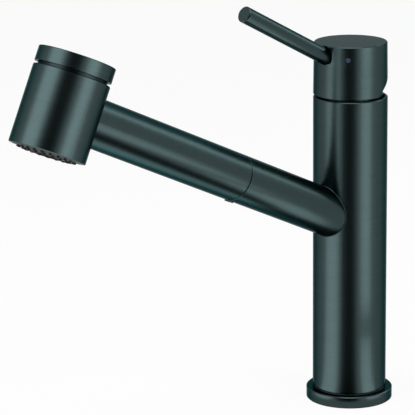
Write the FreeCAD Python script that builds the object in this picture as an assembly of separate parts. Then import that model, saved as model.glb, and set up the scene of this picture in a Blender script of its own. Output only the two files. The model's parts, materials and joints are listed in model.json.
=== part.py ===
import FreeCAD, Part
import math
import os

# Single-lever kitchen mixer with a pull-out spray head. Sizes in millimetres.
# Origin: centre of the flange's underside, on the deck. +Z up, the spout points to -Y.

V = FreeCAD.Vector

# --- driving sizes: body -------------------------------------------------------
BODY_RADIUS = 23.0          # outside of the swivelling sleeve and of the lever cap
SLEEVE_WALL = 1.6
SLEEVE_TOP = 194.0
FLANGE_HEIGHT = 7.3
FLANGE_REACH = 4.0          # flange beyond the sleeve
EDGE = 0.5                  # broken edge on turned metal
FIT = 0.05                  # radial running clearance of turning and sliding fits
GAP = 0.3                   # clearance between pieces that move past each other

# --- driving sizes: deck fixing ------------------------------------------------
SHANK_RADIUS = 16.5
SHANK_WALL = 2.0
SHANK_DEPTH = 55.0
SHANK_ENGAGEMENT = 10.0     # shank screwed up into the column foot
DECK_THICKNESS = 30.0
WASHER_RADIUS = 26.0
UNDER_GASKET = 3.0
CLAMP_WASHER = 2.5
NUT_HEIGHT = 8.0
NUT_FLATS = 46.0

# --- driving sizes: valve column -----------------------------------------------
FOOT_SEAT = 3.0             # step in the flange that the column foot bears on
LOWER_RING_WALL = 3.4
UPPER_RING_WALL = 1.6
LOWER_RING_HEIGHT = 12.7
SLEEVE_LIFT = 0.6           # gap between flange and sleeve, filled by the ring's lip
FOOT_TOP = 24.0
HEAD_DEPTH = 46.0           # solid head of the column, measured down from the sleeve top
CUP_DEPTH = 32.0            # floor of the cartridge cup below the sleeve top
HOSE_RADIUS = 5.5
HOSE_BORE = 3.5
HOSE_ROOM = 0.8             # free space round the hose in the foot
PORT_RADIUS = 3.5           # M8 x 1 tapping for the flexible tails
PORT_CIRCLE = 10.9
WATERWAY = 3.3
RISER_CIRCLE = 13.5
RISER_ANGLE = 39.0
CHANNEL_RADIUS = 8.5
CHANNEL_FACE = 3.0          # front of the column's rear segment

# --- driving sizes: cartridge (35 mm ceramic) ----------------------------------
CARTRIDGE_RADIUS = 17.4
CARTRIDGE_NECK = 13.5
CARTRIDGE_CAVITY = 15.5
CARTRIDGE_BASE = 5.0
INLET_X = 8.0
INLET_Y = -5.0
OUTLET_Y = 8.0
DISC_THICKNESS = 4.0
MOVING_DISC = 11.5
MOVING_DISC_Y = 2.5
PIVOT_RISE = 4.0            # tilt axis above the sleeve top
DRIVE_ARM = 14.0            # tilt axis down to the ball
BALL_RADIUS = 3.3
PIN_RADIUS = 1.5
STEM_WIDTH = 7.0
STEM_DEPTH = 8.0
CARRIER_RADIUS = 10.9
SLOT_HALF_WIDTH = 3.3

# --- driving sizes: lever ------------------------------------------------------
CAP_GAP = 1.3
CAP_HEIGHT = 32.7
CAP_WALL = 2.5
CAP_TAPER = 0.4             # the cap is this much smaller in radius at its top
CAP_CAVITY = 15.7           # height of the open cavity under the cap
SOCKET_DEPTH = 8.0          # square socket for the stem, above the cavity
LEVER_RISE = 27.2           # degrees above level
LEVER_RADIUS = 5.0
LEVER_LENGTH = 99.5         # from the body axis
LEVER_ORIGIN = 14.7         # height of the lever axis above the cap's lower edge
LEVER_POCKET = 6.0
LEVER_SEAT = 23.2
STUD_RADIUS = 3.0
STUD_LENGTH = 10.0
BEVEL_ANGLE = 34.0
INDEX_RADIUS = 1.45
INDEX_RISE = 24.9
INDEX_ANGLE = 41.5
SCREW_RADIUS = 2.5

# --- driving sizes: spout and spray --------------------------------------------
SPOUT_RISE = 24.7           # degrees above level
SPOUT_HEIGHT = 114.0        # spout axis where it crosses the body axis
SPOUT_RADIUS = 14.5
SPOUT_WALL = 1.5
SEAM = 106.5                # end of the fixed spout along its axis
SEAM_GAP = 0.6
BUSH_LENGTH = 22.5
BUSH_BORE = 10.2
KEY_WIDTH = 4.0
KEY_LENGTH = 4.5
KEY_PROUD = 0.7
HOSE_BEND = 45.0
HEAD_DISTANCE = 250.0       # head axis along the spout axis
HEAD_RADIUS = 22.5
HEAD_WALL = 2.2
HEAD_BELOW = 25.2
HEAD_ABOVE = 20.5
GROOVE = 1.85
BUTTON_HEIGHT = 8.9
BUTTON_CROWN = 0.3
BUTTON_CHAMFER = 0.3
BUTTON_STEM = 4.0
BUTTON_BORE = 5.6
WATER_TUBE = 6.0
WATER_BORE = 4.0
NIPPLE_RADIUS = 7.5
NUT_RADIUS = 9.8
AERATOR_RADIUS = 9.5
FACE_DOME = 1.9
NOZZLE_RADIUS = 0.9

# --- worked-out sizes ----------------------------------------------------------
SLEEVE_BORE = BODY_RADIUS - SLEEVE_WALL
FLANGE_RADIUS = BODY_RADIUS + FLANGE_REACH
FOOT_RADIUS = SLEEVE_BORE - LOWER_RING_WALL
CUP_RADIUS = SLEEVE_BORE - UPPER_RING_WALL
SHANK_BORE = SHANK_RADIUS - SHANK_WALL
HEAD_FLOOR = SLEEVE_TOP - HEAD_DEPTH
CUP_FLOOR = SLEEVE_TOP - CUP_DEPTH
CUP_TOP = SLEEVE_TOP - 1.0
CUP_BORE = CARTRIDGE_RADIUS + 0.1
NUT_THREAD = CUP_BORE + 0.9
PIVOT_Z = SLEEVE_TOP + PIVOT_RISE
NECK_TOP = PIVOT_Z + 4.0
SHOULDER_Z = PIVOT_Z - 9.0
CAP_BOTTOM = SLEEVE_TOP + CAP_GAP
CAP_TOP = CAP_BOTTOM + CAP_HEIGHT
CAP_BORE = BODY_RADIUS - CAP_WALL
SPOUT_BORE = SPOUT_RADIUS - SPOUT_WALL
HEAD_BORE = HEAD_RADIUS - HEAD_WALL
DISC_FLOOR = CUP_FLOOR + CARTRIDGE_BASE
MOVING_FLOOR = DISC_FLOOR + DISC_THICKNESS + FIT
DRIVER_FLOOR = MOVING_FLOOR + DISC_THICKNESS + 0.95

# --- local frames: each has its own Z along the named axis, X across the faucet ---
TUBE = FreeCAD.Placement(V(0, 0, SPOUT_HEIGHT), FreeCAD.Rotation(V(1, 0, 0), 90 - SPOUT_RISE))
HEAD = FreeCAD.Placement(TUBE.multVec(V(0, 0, HEAD_DISTANCE)), FreeCAD.Rotation(V(1, 0, 0), -SPOUT_RISE))
ROD = FreeCAD.Placement(V(0, 0, CAP_BOTTOM + LEVER_ORIGIN), FreeCAD.Rotation(V(1, 0, 0), 90 - LEVER_RISE))


# --- shared shapes -------------------------------------------------------------
def cylinder(radius, low, high, x=0.0, y=0.0):
    """Solid cylinder along local Z between two heights."""
    return Part.makeCylinder(radius, high - low, V(x, y, low))


def cross_cylinder(radius, x, z, start, end):
    """Solid cylinder along local Y."""
    return Part.makeCylinder(radius, end - start, V(x, start, z), V(0, 1, 0))


def ring(outer, inner, low, high, x=0.0, y=0.0):
    """Tube along local Z."""
    return cylinder(outer, low, high, x, y).cut(cylinder(inner, low, high, x, y))


def block(x0, x1, y0, y1, z0, z1):
    """Box between two corners."""
    return Part.makeBox(x1 - x0, y1 - y0, z1 - z0, V(x0, y0, z0))


def turned(outline):
    """Solid turned from (radius, height) points; the outline closes on itself."""
    points = [V(radius, 0, height) for radius, height in outline]
    face = Part.Face(Part.makePolygon(points + points[:1]))
    return face.revolve(V(0, 0, 0), V(0, 0, 1), 360)


def domed(radius, floor, rim, crown):
    """Disc whose far face bows out from the rim to the crown."""
    floor_edge = Part.makeLine(V(0, 0, floor), V(radius, 0, floor))
    side = Part.makeLine(V(radius, 0, floor), V(radius, 0, rim))
    sag = 0.25 * (crown - rim)
    bow = Part.Arc(V(radius, 0, rim), V(radius * 0.5, 0, crown - sag), V(0, 0, crown)).toShape()
    axis_edge = Part.makeLine(V(0, 0, crown), V(0, 0, floor))
    face = Part.Face(Part.Wire([floor_edge, side, bow, axis_edge]))
    return face.revolve(V(0, 0, 0), V(0, 0, 1), 360)


def broken_tube(outer, inner, low, high, edge=EDGE):
    """Tube with broken outer edges."""
    return turned([(inner, low), (outer - edge, low), (outer, low + edge),
                   (outer, high - edge), (outer - edge, high), (inner, high)])


def fused(shapes):
    """One solid from touching or overlapping shapes."""
    return shapes[0].multiFuse(shapes[1:]).removeSplitter()


def polar(radius, degrees):
    """Point on a circle, angle counted from +X."""
    return radius * math.cos(math.radians(degrees)), radius * math.sin(math.radians(degrees))


# --- deck fixing ---------------------------------------------------------------
GASKET_INNER = FOOT_RADIUS + 2.5
GASKET_OUTER = FLANGE_RADIUS - 1.5
GASKET_DEPTH = 1.5
SHANK_CLEAR = 0.5


def deck_flange():
    """Turned ring on the deck with a gasket groove and a step for the column foot."""
    bore = SHANK_RADIUS + SHANK_CLEAR
    body = turned([(bore, 0), (FLANGE_RADIUS - EDGE, 0), (FLANGE_RADIUS, EDGE),
                   (FLANGE_RADIUS, FLANGE_HEIGHT - EDGE), (FLANGE_RADIUS - EDGE, FLANGE_HEIGHT),
                   (FOOT_RADIUS, FLANGE_HEIGHT), (FOOT_RADIUS, FOOT_SEAT), (bore, FOOT_SEAT)])
    return body.cut(ring(GASKET_OUTER, GASKET_INNER, 0, GASKET_DEPTH))


def deck_gasket():
    """Rubber seal in the flange groove, flush with the deck face."""
    return ring(GASKET_OUTER, GASKET_INNER, 0, GASKET_DEPTH)


def mounting_shank():
    """Hollow shank through the deck, screwed up into the column foot."""
    return broken_tube(SHANK_RADIUS, SHANK_BORE, -SHANK_DEPTH, SHANK_ENGAGEMENT)


def under_deck_gasket():
    """Rubber washer against the underside of the deck."""
    return ring(WASHER_RADIUS, SHANK_RADIUS + SHANK_CLEAR, -DECK_THICKNESS - UNDER_GASKET, -DECK_THICKNESS)


def clamp_washer():
    """Steel washer under the gasket."""
    top = -DECK_THICKNESS - UNDER_GASKET
    return ring(WASHER_RADIUS, SHANK_RADIUS + SHANK_CLEAR, top - CLAMP_WASHER, top)


def mounting_nut():
    """Hexagon nut on the shank."""
    top = -DECK_THICKNESS - UNDER_GASKET - CLAMP_WASHER
    corner = NUT_FLATS / 2 / math.cos(math.radians(30))
    corners = [V(*polar(corner, 60 * turn), top - NUT_HEIGHT) for turn in range(6)]
    hexagon = Part.Face(Part.makePolygon(corners + corners[:1])).extrude(V(0, 0, NUT_HEIGHT))
    low = top - NUT_HEIGHT
    round_off = turned([(0, low), (corner - 1.6, low), (corner, low + 1.0), (corner, top), (0, top)])
    return hexagon.common(round_off).cut(cylinder(SHANK_RADIUS, top - NUT_HEIGHT, top))


# --- valve column --------------------------------------------------------------
PORT_ANGLES = (30, 90, 150)
RISER_FLOOR = FOOT_TOP - 6.0
RISER_TOP = CUP_FLOOR - 6.0
CROSS_RADIUS = 2.9
CROSS_Z = CUP_FLOOR - 7.0
UPPER_RING_LOW = SLEEVE_TOP - 16.0
UPPER_RING_HIGH = SLEEVE_TOP - 8.0
RING_GROOVE = 0.6
LIP_HEIGHT = 4.0


def riser_places():
    """Centres of the cold, mixed and hot risers."""
    return [polar(RISER_CIRCLE, RISER_ANGLE), (0.0, RISER_CIRCLE), polar(RISER_CIRCLE, 180 - RISER_ANGLE)]


def valve_column():
    """Cast brass column: foot with ports, rear segment with risers, cartridge cup."""
    foot = fused([ring(FOOT_RADIUS, SHANK_RADIUS, FOOT_SEAT, SHANK_ENGAGEMENT),
                  cylinder(FOOT_RADIUS, SHANK_ENGAGEMENT, FOOT_TOP)])
    foot = foot.cut(cylinder(HOSE_RADIUS + HOSE_ROOM, 0, FOOT_TOP))
    rear = cylinder(FOOT_RADIUS, FOOT_TOP, HEAD_FLOOR)
    rear = rear.cut(block(-BODY_RADIUS, BODY_RADIUS, -BODY_RADIUS, CHANNEL_FACE, FOOT_TOP, HEAD_FLOOR))
    rear = rear.cut(cylinder(CHANNEL_RADIUS, FOOT_TOP, HEAD_FLOOR))
    cup = turned([(0, HEAD_FLOOR), (CUP_RADIUS, HEAD_FLOOR), (CUP_RADIUS, UPPER_RING_LOW),
                  (CUP_RADIUS - RING_GROOVE, UPPER_RING_LOW), (CUP_RADIUS - RING_GROOVE, UPPER_RING_HIGH),
                  (CUP_RADIUS, UPPER_RING_HIGH), (CUP_RADIUS, CUP_TOP), (NUT_THREAD, CUP_TOP),
                  (NUT_THREAD, SHOULDER_Z), (CUP_BORE, SHOULDER_Z), (CUP_BORE, CUP_FLOOR), (0, CUP_FLOOR)])
    column = fused([foot, rear, cup])
    ports = [cylinder(PORT_RADIUS, 0, FOOT_TOP - 2, *polar(PORT_CIRCLE, angle)) for angle in PORT_ANGLES]
    risers = [cylinder(WATERWAY, RISER_FLOOR, RISER_TOP, x, y) for x, y in riser_places()]
    crossings = []
    for side in (-1, 1):
        riser_x, riser_y = polar(RISER_CIRCLE, RISER_ANGLE)
        x = side * (INLET_X + riser_x) / 2
        crossings.append(cross_cylinder(CROSS_RADIUS, x, CROSS_Z, INLET_Y, riser_y))
        crossings.append(cylinder(WATERWAY, CROSS_Z, CUP_FLOOR, side * INLET_X, INLET_Y))
    crossings.append(cross_cylinder(CROSS_RADIUS, 0, CROSS_Z, OUTLET_Y, RISER_CIRCLE))
    crossings.append(cylinder(WATERWAY, CROSS_Z, CUP_FLOOR, 0, OUTLET_Y))
    for bore in ports + risers + crossings:
        column = column.cut(bore)
    return column


def lower_glide_ring():
    """Plastic ring that carries and centres the sleeve's lower end."""
    lip = BODY_RADIUS - 0.6
    top = FLANGE_HEIGHT + LOWER_RING_HEIGHT
    lip_top = FLANGE_HEIGHT + SLEEVE_LIFT - 2 * FIT
    return turned([(FOOT_RADIUS, FLANGE_HEIGHT), (lip, FLANGE_HEIGHT), (lip, lip_top),
                   (SLEEVE_BORE - FIT, lip_top), (SLEEVE_BORE - FIT, top), (FOOT_RADIUS, top)])


def upper_glide_ring():
    """Split plastic ring snapped into the column's groove; it also retains the sleeve."""
    whole = ring(SLEEVE_BORE - FIT, CUP_RADIUS - RING_GROOVE, UPPER_RING_LOW, UPPER_RING_HIGH)
    return whole.cut(block(-0.8, 0.8, 0, BODY_RADIUS, UPPER_RING_LOW, UPPER_RING_HIGH))


# --- cartridge -----------------------------------------------------------------
SEAL_DEPTH = 1.2
SEAL_RADIUS = 5.0
WATER_PLACES = ((INLET_X, INLET_Y), (-INLET_X, INLET_Y), (0.0, OUTLET_Y))
FLANGE_LOW = SHOULDER_Z - 2.7
ROOF_Z = SHOULDER_Z - 1.0
LUG_LOW = FLANGE_LOW - 7.3
DRIVER_RADIUS = 9.0
DRIVER_TOP = FLANGE_LOW - 0.5
COVER_RADIUS = CUP_RADIUS + 0.2
COVER_TOP = NECK_TOP + 0.5


def cartridge_base():
    """Plastic base with three water ports and seal recesses."""
    base = cylinder(CARTRIDGE_RADIUS, CUP_FLOOR, DISC_FLOOR)
    for x, y in WATER_PLACES:
        base = base.cut(cylinder(WATERWAY, CUP_FLOOR, DISC_FLOOR, x, y))
        base = base.cut(cylinder(SEAL_RADIUS, CUP_FLOOR, CUP_FLOOR + SEAL_DEPTH, x, y))
    return base


def cartridge_seals():
    """Three rubber seals between cartridge base and cup floor."""
    seals = [ring(SEAL_RADIUS, WATERWAY + 0.2, CUP_FLOOR, CUP_FLOOR + SEAL_DEPTH, x, y)
             for x, y in WATER_PLACES]
    return Part.makeCompound(seals)


def cartridge_housing():
    """Plastic housing with a wide cavity for the discs and a neck for the carrier."""
    neck_bore = CARRIER_RADIUS + FIT
    return turned([(CARTRIDGE_CAVITY, DISC_FLOOR), (CARTRIDGE_RADIUS, DISC_FLOOR),
                   (CARTRIDGE_RADIUS, SHOULDER_Z), (CARTRIDGE_NECK, SHOULDER_Z), (CARTRIDGE_NECK, NECK_TOP),
                   (neck_bore, NECK_TOP), (neck_bore, ROOF_Z), (CARTRIDGE_CAVITY, ROOF_Z)])


def fixed_ceramic_disc():
    """Ceramic plate with the three ports, fixed over the base."""
    disc = cylinder(CARTRIDGE_CAVITY - FIT, DISC_FLOOR, DISC_FLOOR + DISC_THICKNESS)
    for x, y in WATER_PLACES:
        disc = disc.cut(cylinder(WATERWAY, DISC_FLOOR, DISC_FLOOR + DISC_THICKNESS, x, y))
    return disc


POCKET_DEPTH = 2.5
POCKET_HALF_WIDTH = 7.0
POCKET_FRONT = -1.2
POCKET_REAR = 5.0
POCKET_END_RADIUS = 5.0
POCKET_END_Y = 7.0


def moving_ceramic_disc():
    """Ceramic plate with the mixing pocket on its underside."""
    disc = cylinder(MOVING_DISC, MOVING_FLOOR, DRIVER_FLOOR, 0, MOVING_DISC_Y)
    pocket_top = MOVING_FLOOR + POCKET_DEPTH
    disc = disc.cut(block(-POCKET_HALF_WIDTH, POCKET_HALF_WIDTH, POCKET_FRONT, POCKET_REAR, MOVING_FLOOR,
                          pocket_top))
    return disc.cut(cylinder(POCKET_END_RADIUS, MOVING_FLOOR, pocket_top, 0, POCKET_END_Y))


def disc_driver():
    """Plastic shoe on the moving disc, with the pocket for the stem's ball."""
    shoe = cylinder(DRIVER_RADIUS, DRIVER_FLOOR, DRIVER_TOP)
    ball_floor = PIVOT_Z - DRIVE_ARM - BALL_RADIUS - 2 * GAP
    return shoe.cut(cylinder(BALL_RADIUS + GAP, ball_floor, DRIVER_TOP))


LUG_THICKNESS = 2.0
LUG_HALF_WIDTH = 5.0
SLOT_HALF_LENGTH = 9.0
PIN_INSET = 0.6
STEM_NECK = 2.4
STEM_FLAT = 3.5
STEM_FLAT_BELOW = 8.0
STEM_FLAT_ABOVE = 7.5


def stem_carrier():
    """Turning carrier in the neck: hub with a slot, flange and two guide lugs."""
    hub = cylinder(CARRIER_RADIUS, FLANGE_LOW, NECK_TOP)
    flange = cylinder(CARTRIDGE_NECK, FLANGE_LOW, ROOF_Z - 2 * FIT)
    lug_inner = DRIVER_RADIUS + GAP
    lug_outer = lug_inner + LUG_THICKNESS
    lug_top = FLANGE_LOW + 1
    lugs = [block(lug_inner, lug_outer, -LUG_HALF_WIDTH, LUG_HALF_WIDTH, LUG_LOW, lug_top),
            block(-lug_outer, -lug_inner, -LUG_HALF_WIDTH, LUG_HALF_WIDTH, LUG_LOW, lug_top)]
    carrier = fused([hub, flange] + lugs)
    slot = block(-SLOT_HALF_WIDTH, SLOT_HALF_WIDTH, -SLOT_HALF_LENGTH, SLOT_HALF_LENGTH, LUG_LOW, NECK_TOP)
    return carrier.cut(slot).cut(pivot_pin())


def pivot_pin():
    """Steel pin that the stem tilts on."""
    half = CARRIER_RADIUS - PIN_INSET
    return Part.makeCylinder(PIN_RADIUS, 2 * half, V(-half, 0, PIVOT_Z), V(1, 0, 0))


def stem_lever():
    """Tilting stem: ball, neck, flat at the pivot and square end for the cap."""
    ball_z = PIVOT_Z - DRIVE_ARM
    flat = SLOT_HALF_WIDTH - GAP
    neck_top = PIVOT_Z - STEM_FLAT_BELOW
    square_low = PIVOT_Z + STEM_FLAT_ABOVE
    square_top = CAP_BOTTOM + CAP_CAVITY + SOCKET_DEPTH
    half_width, half_depth = STEM_WIDTH / 2, STEM_DEPTH / 2
    stem = fused([Part.makeSphere(BALL_RADIUS, V(0, 0, ball_z)), cylinder(STEM_NECK, ball_z, neck_top + 1),
                  block(-flat, flat, -STEM_FLAT, STEM_FLAT, neck_top, square_low),
                  block(-half_width, half_width, -half_depth, half_depth, square_low, square_top)])
    return stem.cut(Part.makeCylinder(PIN_RADIUS + FIT, 2 * flat, V(-flat, 0, PIVOT_Z), V(1, 0, 0)))


SPANNER_SLOTS = 4
SPANNER_HALF_WIDTH = 1.5
SPANNER_DEPTH = 2.0
SPANNER_INSET = 1.5         # from the neck to the start of a slot


def cartridge_nut():
    """Brass nut that holds the cartridge down, with four spanner slots."""
    top = SLEEVE_TOP
    nut = ring(NUT_THREAD, CARTRIDGE_NECK + GAP, SHOULDER_Z, top)
    for turn in range(SPANNER_SLOTS):
        slot = block(-SPANNER_HALF_WIDTH, SPANNER_HALF_WIDTH, CARTRIDGE_NECK + SPANNER_INSET, BODY_RADIUS,
                     top - SPANNER_DEPTH, top)
        slot.rotate(V(0, 0, 0), V(0, 0, 1), 45 + 90 * turn)
        nut = nut.cut(slot)
    return nut


def cartridge_cover():
    """Low dome over the nut, seen in the gap under the lever cap."""
    inner = NUT_THREAD + FIT
    knee = SLEEVE_TOP + 5.5
    return turned([(inner, CUP_TOP), (COVER_RADIUS, CUP_TOP), (COVER_RADIUS, knee),
                   (COVER_RADIUS - 4.5, COVER_TOP), (CARTRIDGE_NECK + GAP, COVER_TOP),
                   (CARTRIDGE_NECK + GAP, COVER_TOP - 2),
                   (COVER_RADIUS - 3, knee - 1.5), (inner, SLEEVE_TOP + 2)])


# --- lever ---------------------------------------------------------------------
def bevel_tool():
    """Wedge below the sloping rear lower face of the cap."""
    size = 4 * BODY_RADIUS
    wedge = Part.makeBox(size, size, size, V(-size / 2, 0, -size))
    wedge.rotate(V(0, 0, 0), V(1, 0, 0), BEVEL_ANGLE)
    wedge.translate(V(0, 0, CAP_BOTTOM))
    return wedge


def placed(shape, frame):
    """Shape moved from a local frame into the faucet's frame."""
    return shape.transformed(frame.toMatrix(), copy=True)


def index_frame(side):
    """Local frame whose Z points out of the cap through an index dot."""
    height = CAP_BOTTOM + INDEX_RISE
    outward = V(side * math.sin(math.radians(INDEX_ANGLE)), -math.cos(math.radians(INDEX_ANGLE)), 0)
    return FreeCAD.Placement(V(0, 0, height), FreeCAD.Rotation(V(0, 0, 1), outward))


def index_dot(side):
    """Small coloured plug set flush in the cap."""
    radius_here = BODY_RADIUS - CAP_TAPER * INDEX_RISE / CAP_HEIGHT
    return placed(cylinder(INDEX_RADIUS, radius_here - 1.2, radius_here + 0.03), index_frame(side))


def screw_height():
    """Height of the grub screw's axis."""
    return CAP_BOTTOM + CAP_CAVITY + 4.0


def lever_cap():
    """Die-cast cap: square socket, hollow rim, bevelled rear and angled pocket."""
    top_radius = BODY_RADIUS - CAP_TAPER
    cap = turned([(0, CAP_BOTTOM), (BODY_RADIUS - EDGE, CAP_BOTTOM), (BODY_RADIUS, CAP_BOTTOM + EDGE),
                  (top_radius, CAP_TOP - EDGE), (top_radius - EDGE, CAP_TOP), (0, CAP_TOP)])
    roof = CAP_BOTTOM + CAP_CAVITY
    cap = cap.cut(cylinder(CAP_BORE, CAP_BOTTOM, roof))
    relief = ring(CAP_BORE - 0.5, 10.0, roof, CAP_TOP - 4)
    relief = relief.cut(block(-8.5, 8.5, -BODY_RADIUS, 0, roof, CAP_TOP))
    cap = cap.cut(relief)
    cap = cap.cut(bevel_tool())
    half_width, half_depth = STEM_WIDTH / 2, STEM_DEPTH / 2
    cap = cap.cut(block(-half_width, half_width, -half_depth, half_depth, roof, roof + SOCKET_DEPTH))
    cap = cap.cut(placed(cylinder(LEVER_POCKET, LEVER_SEAT, 2 * BODY_RADIUS), ROD))
    cap = cap.cut(placed(cylinder(STUD_RADIUS, LEVER_SEAT - STUD_LENGTH, LEVER_SEAT), ROD))
    cap = cap.cut(cross_cylinder(SCREW_RADIUS, 0, screw_height(), half_depth, 2 * BODY_RADIUS))
    for side in (-1, 1):
        cap = cap.cut(index_dot(side))
    return cap


def lever_rod():
    """Round lever with a threaded stud on its inner end."""
    return fused([turned([(0, LEVER_SEAT), (LEVER_RADIUS, LEVER_SEAT), (LEVER_RADIUS, LEVER_LENGTH - EDGE),
                          (LEVER_RADIUS - EDGE, LEVER_LENGTH), (0, LEVER_LENGTH)]),
                  cylinder(STUD_RADIUS, LEVER_SEAT - STUD_LENGTH, LEVER_SEAT)])


def grub_screw():
    """Set screw that presses the stem, with a hexagon socket."""
    start = STEM_DEPTH / 2
    screw = cross_cylinder(SCREW_RADIUS, 0, screw_height(), start, start + 6.5)
    return screw.cut(cross_cylinder(1.3, 0, screw_height(), start + 3.5, start + 6.5))


def screw_plug():
    """Plug that closes the screw hole in the rear wall of the cap."""
    outside = BODY_RADIUS - CAP_TAPER
    return cross_cylinder(SCREW_RADIUS, 0, screw_height(), CAP_BORE, outside + 0.1)


# --- spout ---------------------------------------------------------------------
BUSH_LIP = 0.3
SLEEVE_BOTTOM = FLANGE_HEIGHT + SLEEVE_LIFT
LIP_LOW = UPPER_RING_LOW - GAP - LIP_HEIGHT
LIP_BORE = CUP_RADIUS + 0.4


def body_sleeve():
    """Swivelling outer sleeve with a retaining lip and the opening for the spout."""
    lip_high = LIP_LOW + LIP_HEIGHT
    sleeve = turned([(SLEEVE_BORE, SLEEVE_BOTTOM), (BODY_RADIUS - EDGE, SLEEVE_BOTTOM),
                     (BODY_RADIUS, SLEEVE_BOTTOM + EDGE), (BODY_RADIUS, SLEEVE_TOP - EDGE),
                     (BODY_RADIUS - EDGE, SLEEVE_TOP), (SLEEVE_BORE, SLEEVE_TOP), (SLEEVE_BORE, lip_high),
                     (LIP_BORE, lip_high), (LIP_BORE, LIP_LOW), (SLEEVE_BORE, LIP_LOW)])
    return sleeve.cut(placed(cylinder(SPOUT_BORE, 5, 3 * BODY_RADIUS), TUBE))


def key_space(clearance, low, high):
    """Space for the locating key under the seam, in the spout frame."""
    half = KEY_WIDTH / 2 + clearance
    return block(-half, half, -SPOUT_RADIUS - KEY_PROUD, -SPOUT_BORE + 1, low, high)


def spout_tube():
    """Fixed part of the spout, coped to the sleeve and welded there."""
    tube = broken_tube(SPOUT_RADIUS, SPOUT_BORE, 0, SEAM, 0.15)
    tube = tube.cut(key_space(FIT, SEAM - KEY_LENGTH + 1, SEAM))
    return placed(tube, TUBE).cut(cylinder(BODY_RADIUS, 0, SLEEVE_TOP))


def docking_bush():
    """Plastic socket in the spout end that the spray docks into, with its key."""
    low = SEAM - BUSH_LENGTH
    bush = turned([(BUSH_BORE, low), (SPOUT_BORE, low), (SPOUT_BORE, SEAM), (SPOUT_RADIUS - 0.6, SEAM),
                   (SPOUT_RADIUS - 0.6, SEAM + BUSH_LIP), (BUSH_BORE + 0.6, SEAM + BUSH_LIP),
                   (BUSH_BORE, SEAM - 1)])
    key = key_space(0, SEAM - KEY_LENGTH + 1, SEAM + BUSH_LIP)
    return placed(fused([bush, key]), TUBE)


GUIDE_LOW = 30.0
GUIDE_HIGH = 40.0
GUIDE_FLARE_IN = 4.0
GUIDE_FLARE_OUT = 2.0


def hose_guide():
    """Flared plastic guide that leads the hose into the spout."""
    narrow = HOSE_RADIUS + HOSE_ROOM
    guide = turned([(narrow + GUIDE_FLARE_IN, GUIDE_LOW), (SPOUT_BORE, GUIDE_LOW), (SPOUT_BORE, GUIDE_HIGH),
                    (narrow + GUIDE_FLARE_OUT, GUIDE_HIGH), (narrow, GUIDE_HIGH - GUIDE_FLARE_OUT),
                    (narrow, GUIDE_LOW + GUIDE_FLARE_IN)])
    return placed(guide, TUBE)


# --- hose ----------------------------------------------------------------------
HOSE_START = -SHANK_DEPTH - 5.0
HOSE_END = SEAM - 21.0


def hose_run(radius):
    """Solid of the given radius along the hose: up the body, round the bend, along the spout."""
    reach = HOSE_BEND * math.tan(math.radians((90 - SPOUT_RISE) / 2))
    bend_start = V(0, 0, SPOUT_HEIGHT - reach)
    turn = math.radians((90 - SPOUT_RISE) / 2)
    middle = bend_start + V(0, -HOSE_BEND * (1 - math.cos(turn)), HOSE_BEND * math.sin(turn))
    bend_end = TUBE.multVec(V(0, 0, reach))
    path = Part.Wire([Part.makeLine(V(0, 0, HOSE_START), bend_start),
                      Part.Arc(bend_start, middle, bend_end).toShape(),
                      Part.makeLine(bend_end, TUBE.multVec(V(0, 0, HOSE_END)))])
    section = Part.Wire(Part.makeCircle(radius, V(0, 0, HOSE_START), V(0, 0, 1)))
    return path.makePipeShell([section], True, False)


def spray_hose():
    """Nylon spray hose held inside the faucet, from the deck shank to the spray."""
    return hose_run(HOSE_RADIUS).cut(hose_run(HOSE_BORE))


CONNECTOR_LENGTH = 22.0
CONNECTOR_BORE = 2.2
CONNECTOR_PLUG = 5.0        # radius of the plug end
CONNECTOR_GRIP = 7.0        # radius of the grip next to the hose
CLIP_GROOVE = 1.0
CLIP_LOW = 6.0
CLIP_HIGH = 8.0
PLUG_LENGTH = 12.0
BARB_LENGTH = 10.0


def hose_connector():
    """Brass end of the spray hose below the shank, with a groove for its clip."""
    low = HOSE_START - CONNECTOR_LENGTH
    barb_top = HOSE_START + BARB_LENGTH
    groove = CONNECTOR_PLUG - CLIP_GROOVE
    return turned([(CONNECTOR_BORE, low), (CONNECTOR_PLUG, low), (CONNECTOR_PLUG, low + CLIP_LOW),
                   (groove, low + CLIP_LOW), (groove, low + CLIP_HIGH), (CONNECTOR_PLUG, low + CLIP_HIGH),
                   (CONNECTOR_PLUG, low + PLUG_LENGTH), (CONNECTOR_GRIP, low + PLUG_LENGTH),
                   (CONNECTOR_GRIP, HOSE_START), (HOSE_BORE, HOSE_START), (HOSE_BORE, barb_top),
                   (CONNECTOR_BORE, barb_top)])


# --- spray: inlet end ----------------------------------------------------------
SPRAY_START = SEAM + SEAM_GAP
NIPPLE_START = SEAM - 15.0
PLUG_START = SEAM + 4.5
PLUG_END = PLUG_START + 13.0
VALVE_END = PLUG_START + 9.0
SEAL_GROOVES = (PLUG_START + 3.0, PLUG_START + 8.0)
GROOVE_WIDTH = 2.2
GROOVE_FLOOR = SPOUT_BORE - 1.4
WATER_TUBE_END = HEAD_DISTANCE - 15.0


def spray_tube():
    """Moving part of the spout tube, coped and welded to the head."""
    tube = broken_tube(SPOUT_RADIUS, SPOUT_BORE, SPRAY_START, HEAD_DISTANCE, 0.15)
    barrel = placed(cylinder(HEAD_RADIUS, -2 * HEAD_BELOW, 2 * HEAD_ABOVE), HEAD)
    return placed(tube, TUBE).cut(barrel)


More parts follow.
